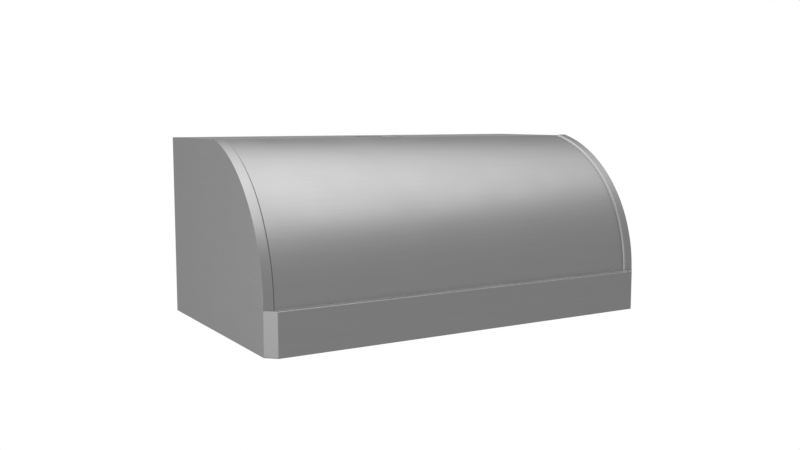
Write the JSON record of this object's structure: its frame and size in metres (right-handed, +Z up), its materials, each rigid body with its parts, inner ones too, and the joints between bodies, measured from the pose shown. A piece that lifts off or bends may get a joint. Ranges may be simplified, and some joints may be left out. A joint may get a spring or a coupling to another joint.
{
  "type": "wall range hood",
  "caption": "Barrel-front wall range hood in brushed stainless steel, with a flat top, baffle filters, a slide-out grease tray and an internal centrifugal blower.",
  "frame": {"origin": "centre of the bounding box's floor: the rim's plane, midway along the hood and between wall and front rail", "axes": "+X along the wall to the right as the cook faces the hood, +Y into the wall, +Z up"},
  "size_m": [1.0668, 0.6096, 0.4596],
  "materials": {
    "canopy_steel": "brushed along the width, satin",
    "inner_steel": "mill finish, dull",
    "filter_steel": "brushed along the baffles",
    "galvanised_steel": "zinc coated, matt spangle",
    "trim_metal": "turned, satin",
    "motor_paint": "black, semi-gloss",
    "knob_plastic": "black, satin",
    "switch_plastic": "dark grey, moulded",
    "lead_sheath": "grey-black sheath, matt",
    "lens_glass": "frosted"
  },
  "bodies": {
    "canopy": {"end_panel_left": "canopy_steel", "end_panel_right": "canopy_steel", "barrel_skin": "canopy_steel", "front_rail": "canopy_steel", "top_panel": "canopy_steel", "back_panel": "inner_steel", "control_deck": "canopy_steel", "rear_filter_rail": "inner_steel", "tray_runner_left": "inner_steel", "tray_runner_right": "inner_steel", "scroll_wrap": "galvanised_steel", "scroll_side_left": "galvanised_steel", "scroll_side_right": "galvanised_steel", "inlet_ring_left": "galvanised_steel", "inlet_ring_right": "galvanised_steel", "motor": "motor_paint", "motor_bracket": "galvanised_steel", "discharge_box": "galvanised_steel", "damper_rod": "trim_metal", "outlet_collar": "galvanised_steel", "blower_brace_left": "galvanised_steel", "blower_brace_right": "galvanised_steel", "junction_box": "galvanised_steel", "junction_cover": "galvanised_steel", "run_capacitor": "trim_metal", "capacitor_clip": "galvanised_steel", "speed_switch": "switch_plastic", "light_switch": "switch_plastic", "lamp_housing_left": "galvanised_steel", "lamp_housing_right": "galvanised_steel", "lamp_bezel_left": "trim_metal", "lamp_bezel_right": "trim_metal", "lamp_lens_left": "lens_glass", "lamp_lens_right": "lens_glass", "power_lead": "lead_sheath", "motor_lead": "lead_sheath", "lead_clips": "galvanised_steel", "panel_screws": "trim_metal"},
    "filter_left": {"filter_frame_left": "filter_steel", "filter_baffles_left": "filter_steel", "filter_handle_left": "trim_metal"},
    "filter_centre": {"filter_frame_centre": "filter_steel", "filter_baffles_centre": "filter_steel", "filter_handle_centre": "trim_metal"},
    "filter_right": {"filter_frame_right": "filter_steel", "filter_baffles_right": "filter_steel", "filter_handle_right": "trim_metal"},
    "tray": {"grease_tray": "filter_steel"},
    "wheel": {"fan_wheel": "galvanised_steel", "wheel_hub": "trim_metal", "motor_shaft": "trim_metal"},
    "damper_front": {"damper_flap_front": "galvanised_steel"},
    "damper_rear": {"damper_flap_rear": "galvanised_steel"},
    "speed_control": {"speed_shaft": "trim_metal", "speed_knob": "knob_plastic"},
    "light_control": {"light_shaft": "trim_metal", "light_knob": "knob_plastic"}
  },
  "joints": [
    {"name": "filter_left_slide", "type": "slide", "parent": "canopy", "child": "filter_left", "axis": [0, -0.9945, 0.1045], "range_m": [0, 0.014]},
    {"name": "filter_centre_slide", "type": "slide", "parent": "canopy", "child": "filter_centre", "axis": [0, -0.9945, 0.1045], "range_m": [0, 0.014]},
    {"name": "filter_right_slide", "type": "slide", "parent": "canopy", "child": "filter_right", "axis": [0, -0.9945, 0.1045], "range_m": [0, 0.014]},
    {"name": "tray_slide", "type": "slide", "parent": "canopy", "child": "tray", "axis": [0, -1, 0], "range_m": [0, 0.15]},
    {"name": "wheel_spin", "type": "hinge", "parent": "canopy", "child": "wheel", "pos_m": [0, 0.053, 0.244], "axis": [1, 0, 0], "continuous": true},
    {"name": "damper_front_hinge", "type": "hinge", "parent": "canopy", "child": "damper_front", "pos_m": [0, 0.1524, 0.3712], "axis": [-1, 0, 0], "range_deg": [0, 70]},
    {"name": "damper_rear_hinge", "type": "hinge", "parent": "canopy", "child": "damper_rear", "pos_m": [0, 0.1524, 0.3712], "axis": [1, 0, 0], "range_deg": [0, 70]},
    {"name": "speed_knob_turn", "type": "hinge", "parent": "canopy", "child": "speed_control", "pos_m": [-0.045, -0.2248, 0.05], "axis": [0, 0, -1], "range_deg": [0, 270]},
    {"name": "light_knob_turn", "type": "hinge", "parent": "canopy", "child": "light_control", "pos_m": [0.045, -0.2248, 0.05], "axis": [0, 0, -1], "range_deg": [0, 270]}
  ]
}
